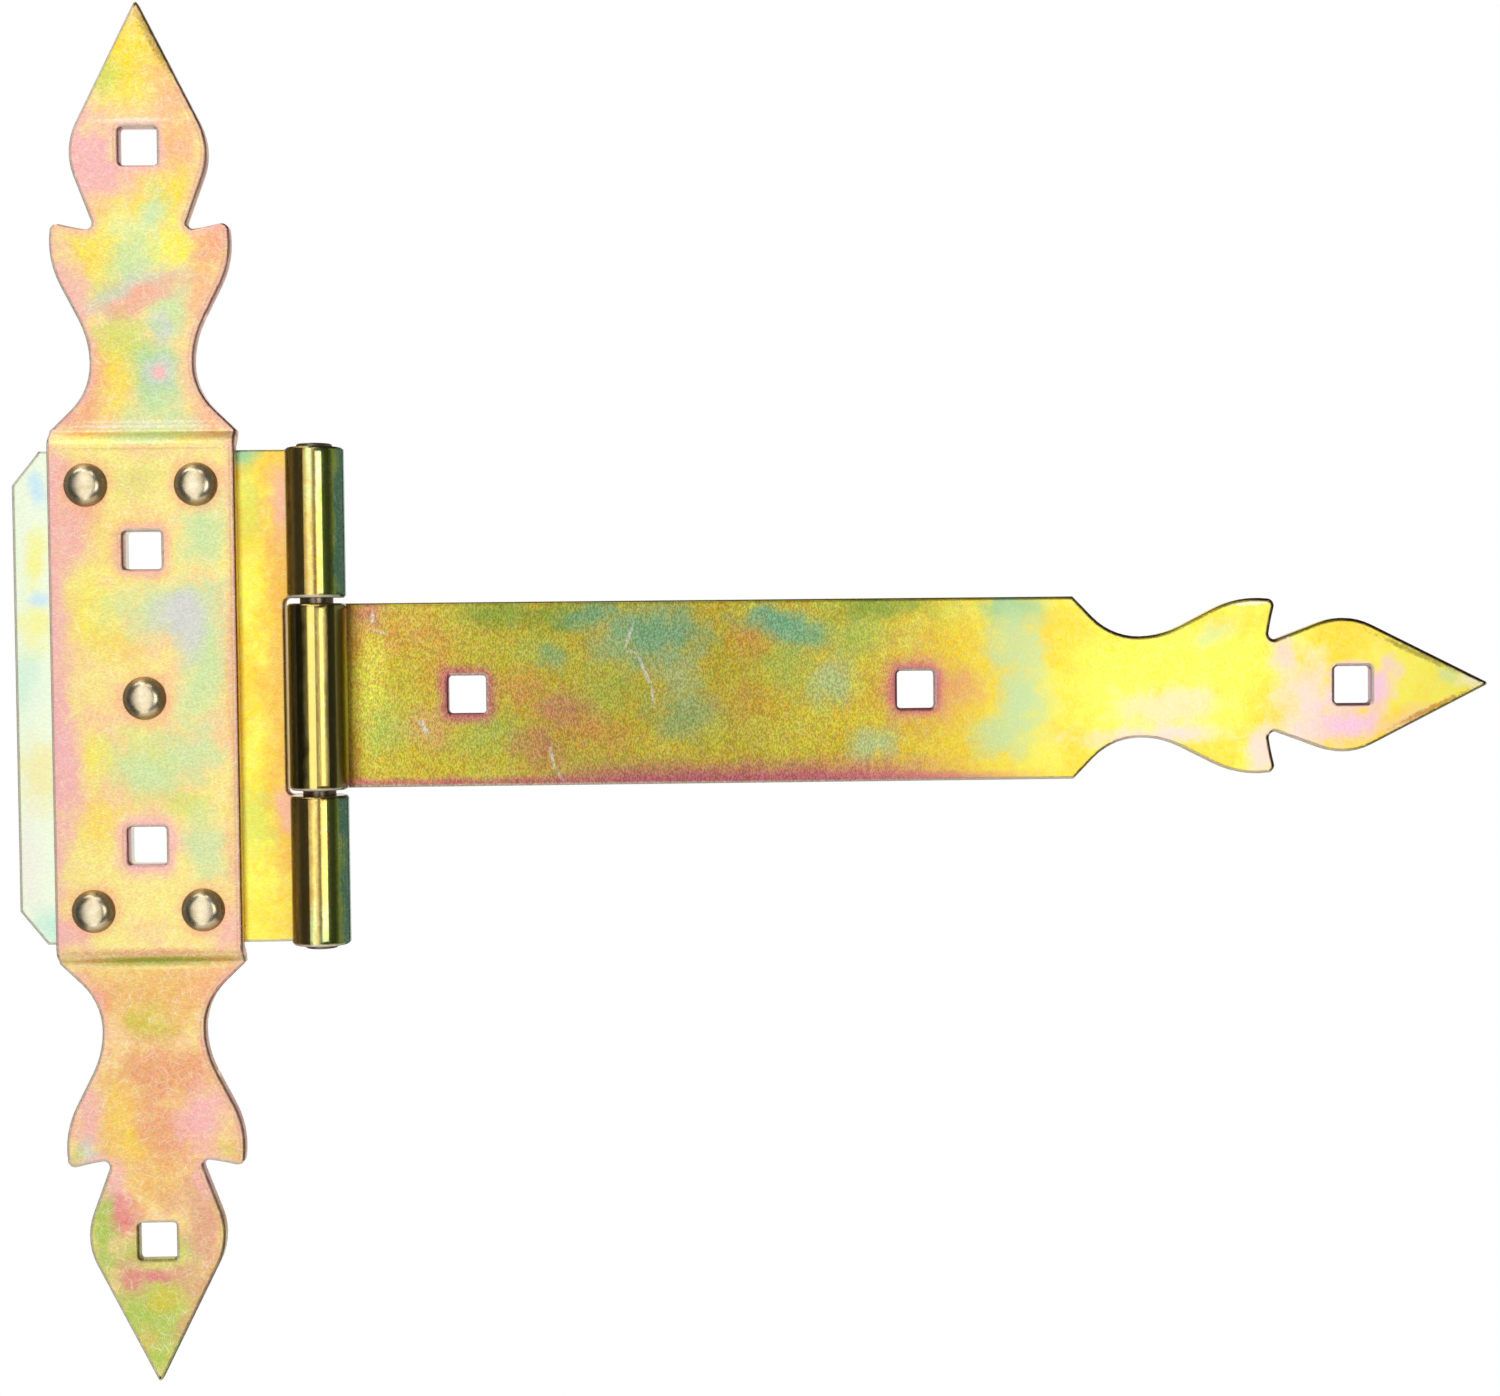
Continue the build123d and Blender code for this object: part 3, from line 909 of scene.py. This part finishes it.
# %% Lower spear's film
lower_finish = cross_plate_finish("lower_spear_film", -3.0, [
    (-42, -72, 26, 11, 0, AMBER, 0.95),
    (-57, -74, 7, 7, 0, SALMON, 0.8),
    (-28, -70, 7, 6, 0, SALMON, 0.6),
    (-42.5, -80, 8, 5.5, 0, OLIVE, 0.85),
    (-38, -92, 20, 10, 0, CLAY, 1.0),
    (-42, -106, 26, 14, 0, CLAY, 0.95),
    (-30, -103, 8, 10, 0, PINK, 0.9),
    (-58.5, -103, 5, 9, 10, PINK, 0.8),
    (-51, -102, 5.5, 10, 0, GOLD, 0.55),
    (-48, -110, 6, 6, 30, GOLD, 0.55),
    (-42, -119, 12, 8, 0, AMBER, 0.85),
    (-59.5, -111, 4, 5, 0, LILAC, 0.8),
    (-62.5, -113.5, 3, 5, 20, LIME, 0.9),
    (-23, -113, 4, 5, 0, OLIVE, 0.45),
    (-52, -121, 5, 8, 0, PINK, 0.9),
    (-32, -124, 9, 10, 0, BRICK, 0.85),
    (-29, -118, 4, 6, 0, PINK, 0.7),
    (-50, -128, 7, 5.5, 0, ROSE, 0.85),
    (-43, -154, 22, 21, 0, SAGE, 1.0),
    (-55.5, -131, 4.5, 14, 0, SAGE, 1.0),
    (-47, -138, 8, 7, 0, SAGE, 0.6),
    (-35, -136, 5, 5, 0, SAGE, 0.6),
    (-30, -133, 5.5, 10, 0, BRICK, 0.85),
    (-48, -143, 6, 5.5, 0, ROSE, 0.7),
    (-42, -141.8, 8, 2.6, -8, ROSE, 0.75),
    (-34, -143, 5, 6, 0, BRICK, 0.7),
    (-40, -147.5, 5, 4, 0, OLIVE, 0.8),
    (-44, -157, 4, 4, 0, AMBER, 0.45),
    (-33, -149, 3, 12, 26, BRICK, 0.7),
], [
    ([(-40.0, -63.8, 19.0, 1.5, 0, 0.9)], SAGE),
    ([(-42.0, -65.0, 21.0, 0.5, 0, 0.8)], MOSS),
    ([(-42.0, -66.0, 22.0, 0.5, 0, 0.6)], STRAW),
], [(-133.4, 1.5, OLIVE, 0.3)], [], 0.5, 0.45)

for material in (upper_finish, middle_finish, lower_finish):
    cross.data.materials.append(material)
for face in cross.data.polygons:
    face.material_index = 1 if abs(face.center.z) < JOGGLE else 0 if face.center.z > 0 else 2
print("cross plate zones", len(cross.data.materials))

# %% [markdown]
# ## Frame leaf
# What shows of the leaf is a narrow strip on each side of the cross plate. The left one is so thinly
# coloured that it looks almost white, with yellow and blue clouds. The right one is the strongest
# yellow on the hinge, and turns orange and rose where it bends into the eyes. A rolled eye gets
# bands of painted reflection along the barrel, as each band faces another part of the tent: dull at
# the left, gold in the middle with one dark line of painted shade, and green at the right.

# %% A rolled eye
# Colours of the eyes' bands of painted reflection
BARREL_GOLD = screen_colour(222, 200, 112)
BARREL_TEAL_REFLECTION = screen_colour(98, 148, 116)


def eye_film(film, left, between, right, far_right, left_reach, worn_line, right_reach):
    """Paints a rolled eye's bands of reflection from left to right, and returns where the eye is.

    The reaches say how far right of the axis, in mm, the left colour ends and the right one begins.
    """
    from_axis = film.vector("MULTIPLY_ADD", {0: film.place, 1: (1, 1, 0), 2: (0, -barrel_axis.y / MM, 0)})
    away = film.vector("LENGTH", {0: from_axis}, "Value")
    barrel = film.fade(away, 7.2, 7.6) * film.fade(film.part("Y"), -3.9, -3.1)
    streaks = film.noise(1.0, 2.0, 31, stretch=(1.8, 1.8, 0.03)) - 0.5
    cloudy = film.noise(0.09, 3.0, 32) - 0.5
    around = film.part("X") + streaks * 2.4 + cloudy * 5.0
    height = film.start.node("ShaderNodeMath", {"operation": "ABSOLUTE"}, {0: film.part("Z")})
    eye = film.tint(film.fade(height + cloudy * 30.0, 54.0, 44.0, 0.7), BARREL_GOLD, MINT)
    low = film.fade(height + cloudy * 14.0, 27.0, 46.0, 0.9)
    eye = film.tint(low * film.fade(around, 0.9, -0.2), eye, between)
    eye = film.tint(film.fade(around, left_reach - 1.5, left_reach), eye, left)
    eye = film.tint(film.fade(around, right_reach + 1.8, right_reach), eye, right)
    eye = film.tint(film.fade(around, 6.2, 4.6), eye, far_right)
    # A dark edge of painted shade at the eye's far left
    eye = film.tint(film.fade(around, -6.4, -4.6, 0.7), eye, BRONZE_SHADE)
    # A dark line of painted shade along the barrel, between the two bright stripes
    beside = film.start.node("ShaderNodeMath", {"operation": "ABSOLUTE"}, {0: around - worn_line})
    eye = film.tint(film.fade(beside, 0.2, 0.9, 0.75), eye, UMBER_SHADE)
    film.colour = film.tint(barrel, film.colour, eye)
    return barrel


print("barrel gold", [round(part, 2) for part in BARREL_GOLD[:3]])

# %% Leaf's film
NEARLY_WHITE = screen_colour(242, 252, 226)
leaf_film = Film("leaf_film", 12.4, GOLD, LEMON)
left_side = leaf_film.fade(leaf_film.part("X"), -66.0, -58.0)
leaf_film.colour = leaf_film.tint(left_side, leaf_film.colour, NEARLY_WHITE)
leaf_film.clouds([
    (-67.5, 34, 4, 8, 0, LEMON, 0.65),
    (-69, 17, 5, 7, 0, LEMON, 0.6),
    (-68, -18, 6, 12, 0, STRAW, 0.6),
    (-71, -40, 5, 14, 0, PALE_ZINC, 0.8),
    (-67.5, 50, 3, 6, 0, SKY, 0.8),
    (-67, 24, 3, 3, 0, SKY, 0.7),
    (-71, 5, 4, 10, 0, CYAN, 0.5),
    (-66, -56, 6, 5, 0, CYAN, 0.9),
    (-17.5, 58.5, 5.5, 3.5, 0, TEAL, 0.9),
    (-16, 46, 4, 12, 0, LIME, 0.5),
    (-9, 0, 6, 90, 0, ORANGE, 0.8),
    (-9, 38, 5, 24, 0, ORANGE, 0.6),
    (-8, 48, 4, 11, 0, PINK, 0.6),
    (-8, -27, 4, 8, 0, PINK, 0.6),
    (-17, -30, 6, 10, 0, LIME, 0.5),
    (-14, -54, 9, 8, 0, GOLD, 0.6),
])
leaf_barrel = eye_film(leaf_film, UMBER_SHADE, ORANGE, MOSS, BARREL_TEAL_REFLECTION, -0.1, 0.7, 1.4)
rim_lines(leaf_film, -3.0, 0.5, 0.8)
for height in (35.8, -35.8):
    leaf_film.hole_rim(plate_x, height, 1.5, PALE_ZINC, 0.95)
leaf.data.materials.append(finish(leaf_film, (0.9, 0.9, 2.4), 0.12, 0.16, 0.06, leaf_barrel))
print("leaf", leaf_film.material.name)

# %% [markdown]
# ## Strap
# The strap kept the mill's grain most of all. It is gold and orange near the barrel, with teal clouds
# along its upper half and a rose lower edge, and it clears to a bright yellow at its end. Most of it
# faces the slit, so the grain shows there, and it fades towards the end that faces the right panel.

# %% Strap's film
strap_film = Film("strap_film", 21.7, YELLOW, GOLD)
strap_film.clouds([
    (50, 0, 105, 60, 0, OLIVE, 0.62),
    (20, 15, 18, 8, 0, ORANGE, 0.7),
    (13.5, 2, 4, 18, 0, YELLOW, 0.95),
    (16, -9, 7, 7, 0, LIME, 0.8),
    (13, 20, 5, 4, 0, ROSE, 0.7),
    (26, -8, 8, 6, 0, SALMON, 0.5),
    (28, 5, 6, 8, 0, ORANGE, 0.6),
    (42, 19.5, 12, 4.5, 0, MOSS, 0.9),
    (40, -10, 10, 6, 0, LIME, 0.8),
    (50, 0, 9, 7, 0, ORANGE, 0.7),
    (52, 11, 10, 6, 0, LIME, 0.6),
    (60, -5, 13, 6, 22, ROSE, 0.6),
    (53, -13, 9, 6, 0, ROSE, 0.5),
    (68, -10, 14, 6, 10, ORANGE, 0.8),
    (57, 9, 5, 5, 0, TEAL, 0.5),
    (62, 19, 14, 4.5, 0, MOSS, 0.9),
    (67, 19, 8, 4.5, 0, TEAL, 0.7),
    (76, 12, 12, 9, 0, MINT, 0.5),
    (82, 13, 14, 10, 0, TEAL, 0.8),
    (72, 0, 9, 7, 0, LIME, 0.6),
    (83, -13, 9, 6, 0, YELLOW, 0.5),
    (90, -6, 10, 7, 0, TEAL, 0.5),
    (88, 3, 7, 7, 0, MINT, 0.6),
    (99, 5, 7, 8, 0, OLIVE, 0.5),
    (109, 18, 9, 4.5, 0, TEAL, 0.9),
    (116, 15, 12, 6, 15, TEAL, 0.85),
    (105, 12, 7, 6.5, 0, ORANGE, 0.9),
    (113, 6, 9, 6, 0, LIME, 0.8),
    (104, -3, 10, 7, 0, ORANGE, 0.5),
    (125, 1, 7, 8, 0, MINT, 0.8),
    (131, 14, 9, 8, 0, LIME, 0.8),
    (136, 20.5, 18, 3.5, 0, MOSS, 0.9),
    (118, -9, 12, 7, 0, YELLOW, 0.5),
    (135, -14, 7, 5, 0, MINT, 0.8),
    (147, 2, 15, 15, 0, ORANGE, 0.85),
    (156, -2, 7, 9, 0, SALMON, 0.6),
    (157, 12, 9, 7, 0, GOLD, 0.9),
    (160, -8, 9, 9, 0, GOLD, 0.7),
    (169, 19, 10, 5, 0, TEAL, 0.8),
    (170, 11, 8, 10, 0, MINT, 0.8),
    (172, -3, 8, 15, 0, MINT, 1.0),
    (166, -11, 8, 7, 0, MINT, 0.8),
    (184, 17, 8, 6, 0, GOLD, 0.7),
    (197, 0, 18, 22, 0, LEMON, 1.0),
    (222, 6, 24, 14, 0, LEMON, 1.0),
    (219, 14.5, 7, 4, -20, MINT, 0.6),
    (208, -4.5, 16, 7, 0, BLOOM, 0.6),
    (205, -12, 22, 3.5, 0, BLOOM, 0.95),
    (223, -9, 8, 6, 0, LEMON, 0.6),
    (232, -17, 5, 8, 0, BLOOM, 0.95),
    (242, -2, 9, 12, 0, BLOOM, 0.95),
    (236, 8, 4.5, 5, 0, ORCHID, 0.6),
    (242, -11, 8, 5, 0, BLOOM, 0.9),
    (250, -9, 10, 8, 0, ORCHID, 0.6),
    (256, 13, 13, 5.5, 20, GOLD, 0.6),
    (268, 2, 11, 9, 0, YELLOW, 0.95),
    (261.5, 0.5, 4, 7.5, 0, ORCHID, 0.9),
    (254, -8.5, 9, 4, 0, ORCHID, 0.9),
    (268, -8, 9, 3.5, -25, PEACH, 0.8),
    (278, 3, 4, 2.5, 25, MINT, 0.6),
    (284, 1, 3.5, 3, 0, PALE_ZINC, 0.6),
])
print("strap's clouds laid")

# %% [markdown]
# ### Edges, holes and scratches of the strap
# A rust-brown painted shade runs along the end by the barrel, in the crevice where the flat meets
# the eye, rose runs along the lower edge, and a rose or salmon ring lies round each hole. Knocks in
# the bath's barrel left the pale scratches, and a pale mark of painted highlight lies along the crest
# of the hook's upper rim.

# %% Strap's edges, holes and scratches
# Painted shade in the crevice where the flat meets the eye, weaker round mid height
crevice_shade = strap_film.fade(strap_film.part("X") + strap_film.fray * 0.8, 8.0, 11.0)
at_mid = strap_film.fade(strap_film.part("Z") * strap_film.part("Z"), 10.0, 180.0)
strap_film.colour = strap_film.tint(crevice_shade * (0.55 - at_mid * 0.4), strap_film.colour, BROWN_SHADE)
lower_edge = strap_film.fade(strap_film.part("Z") + strap_film.fray * 2.5, -21.5, -14.5)
lower_edge = lower_edge * strap_film.fade(strap_film.part("X"), 130.0, 168.0) * 0.95
close_edge = strap_film.fade(strap_film.part("Z") + strap_film.fray * 1.0, -21.5, -19.5)
far_out = strap_film.fade(strap_film.part("X") + strap_film.fray * 8.0, 80.0, 38.0)
strap_film.colour = strap_film.tint(lower_edge * far_out, strap_film.colour, ROSE)
close_edge = close_edge * strap_film.fade(strap_film.part("X"), 150.0, 185.0) * 0.8
strap_film.colour = strap_film.tint(close_edge, strap_film.colour, ROSE)
for x, reach, colour, strength in (
    (35.5, 4.2, ROSE, 1.0), (145.5, 5.0, SALMON, 0.9), (145.5, 3.2, ROSE, 0.95), (254.0, 2.2, ORCHID, 0.8),
):
    strap_film.hole_rim(x, 0, reach, colour, strength)
strap_film.marks([
    (75.2, 14.0, 0.5, 4.5, 20, 0.7),
    (78.8, 5.7, 0.5, 5.5, -23, 0.8),
    (79.4, 4.5, 0.4, 5.0, -23, 0.6),
    (75.6, 10.0, 2.0, 0.4, 8, 0.6),
    (80.9, -1.2, 0.5, 3.4, -6, 0.6),
    (12.8, 19.3, 0.5, 2.4, 4, 0.8),
    (14.5, 15.5, 2.4, 0.5, 20, 0.5),
    (25.0, -8.0, 1.0, 2.6, -30, 0.7),
    (56.0, -15.5, 0.6, 3.6, -10, 0.6),
    (58.0, -20.0, 0.6, 2.6, -25, 0.5),
    # A pale line of painted highlight along the crest of the hook's upper rim
    (228.5, 20.4, 6.5, 0.8, -3, 0.65),
], PALE_ZINC)
print("strap's edges, holes and scratches laid")

# %% [markdown]
# ### Rims and grain of the strap
# The spear's two long rims get lines of painted shade, bronze above and rust-brown below. The rims'
# painted shade is strongest round the bright end, apart from the outer hole, and the grain is
# strongest where the flat is dim.

# %% Strap's rims and finish
OUTER_HOLE = 254
# Lines of painted shade inside the spear's upper and lower rims
strap_film.marks([(270, 7.6, 14.0, 0.9, 25, 0.6)], BRONZE_SHADE)
strap_film.marks([(273.5, -6.0, 12.0, 0.8, -25, 0.7)], BROWN_SHADE)
# The strap's eye gets bands of painted reflection
strap_barrel = eye_film(strap_film, BRONZE_SHADE, BARREL_GOLD, KHAKI_REFLECTION, KHAKI_REFLECTION, -1.8, 1.7, 2.0)
hole_away = strap_film.spot(strap_film.place, OUTER_HOLE, 0, 8.0, 8.0)
# How strongly the rims' painted shade is laid: most round the bright end, less at the outer hole
rim_shade_strength = strap_film.fade(strap_film.part("X"), 190.0, 178.0) * strap_film.fade(hole_away, 1.1, 0.95)
rim_lines(strap_film, -3.0, 0.3 + rim_shade_strength * 0.65, 0.8, 1.05)
grainy = strap_film.fade(strap_film.part("X"), 120.0, 185.0) * (1 - strap_barrel)
strap.data.materials.append(
    finish(strap_film, (3.4, 3.4, 1.7), grainy * 0.62 + 0.03, 0.10, grainy * 0.11 + 0.02, strap_barrel)
)
print("strap", strap_film.material.name)

# %% [markdown]
# ## Rivets and pin
# They were plated apart from the plates and came out a bronze grey, smooth enough to show the room.
# The riveting tool rolled round on each head and left faint swirls on its crown. The shoulder gets a
# browner, less metallic ring of painted reflection, for the darker room that it faces.

# %% Plated wire
def plated_wire(name, light, dark, ring_reflection, roughness, seed):
    """A smooth grey-bronze plating with clouds and swirls, and a duller ring of painted reflection outside.
    """
    material = bpy.data.materials.new(name)
    start = tree_of(material)
    metres = start.node("ShaderNodeTexCoord", output="Object")
    clouds = start.node(
        "ShaderNodeTexNoise", {"noise_dimensions": "4D"},
        {"Vector": metres, "W": seed, "Scale": 420.0, "Detail": 4.0, "Roughness": 0.6},
    )
    swirls = start.node(
        "ShaderNodeTexNoise", {"noise_dimensions": "4D"},
        {"Vector": metres, "W": seed + 9.0, "Scale": 700.0, "Detail": 2.0, "Distortion": 2.5},
    )
    colour = start.node("ShaderNodeValToRGB", {"stops": [(0.35, dark), (0.65, light)]}, {"Fac": clouds})
    height = clouds * 0.5 + swirls
    bump = start.node("ShaderNodeBump", None, {"Strength": 0.15, "Distance": 0.00005, "Height": height})
    # The shoulder's ring of painted reflection: browner and less metallic
    radius = start.node("ShaderNodeAttribute", {"attribute_name": "from_axis_mm"}, output="Fac")
    outside = start.node(
        "ShaderNodeMapRange", {"interpolation_type": "SMOOTHSTEP"},
        {"Value": radius + swirls * 0.6, "From Min": 3.5, "From Max": 5.1, "To Min": 0.0, "To Max": 1.0},
    )
    colour = start.node("ShaderNodeMix", {"data_type": "RGBA"}, {0: outside, 6: colour, 7: ring_reflection}, 2)
    metal = start.node(
        "ShaderNodeBsdfPrincipled", None,
        {"Base Color": colour, "Metallic": 0.94 - outside * 0.4, "Roughness": roughness + clouds * 0.08,
         "Normal": bump},
    )
    start.node("ShaderNodeOutputMaterial", None, {"Surface": metal})
    return material


rivet_metal = plated_wire(
    "rivet_plating", screen_colour(228, 216, 188), screen_colour(200, 184, 148),
    screen_colour(186, 156, 108), 0.23, 2.0,
)
for rivet in rivets:
    rivet.data.materials.append(rivet_metal)
pin.data.materials.append(plated_wire(
    "pin_plating", screen_colour(150, 140, 120), screen_colour(104, 92, 76),
    screen_colour(120, 106, 84), 0.22, 5.0,
))
print("materials", [material.name for material in bpy.data.materials])
